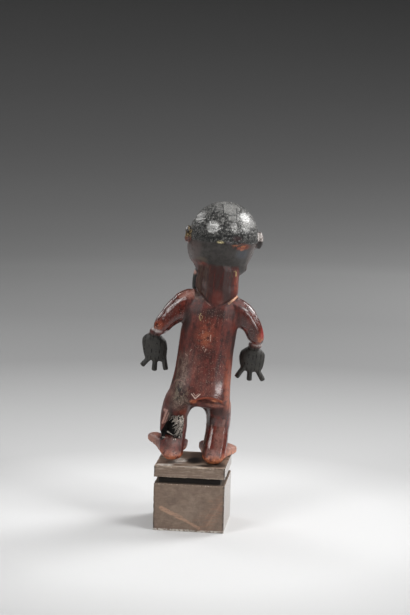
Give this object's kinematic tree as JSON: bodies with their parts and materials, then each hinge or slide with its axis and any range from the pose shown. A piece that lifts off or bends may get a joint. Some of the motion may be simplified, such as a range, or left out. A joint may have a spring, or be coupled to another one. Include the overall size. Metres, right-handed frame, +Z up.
{
  "type": "ancestor figure",
  "caption": "Standing carved wooden ancestor figure with capped hair, square beard and open hands, leaning slightly on a small grooved wooden plinth.",
  "frame": {"origin": "centre of the plinth's underside", "axes": "+Z up; the figure faces about -Y and its left hand is on the +X side; the plinth's sides lie along X and Y"},
  "size_m": [0.0966, 0.0619, 0.2478],
  "materials": {
    "oiled_wood": "dark red-brown hardwood with a glossy oiled patina, blackened hair, beard and hands",
    "stained_wood": "matte grey-brown stained wood, worn paler along its edges"
  },
  "bodies": {
    "root": {"figure": "oiled_wood", "plinth": "stained_wood"}
  },
  "joints": []
}
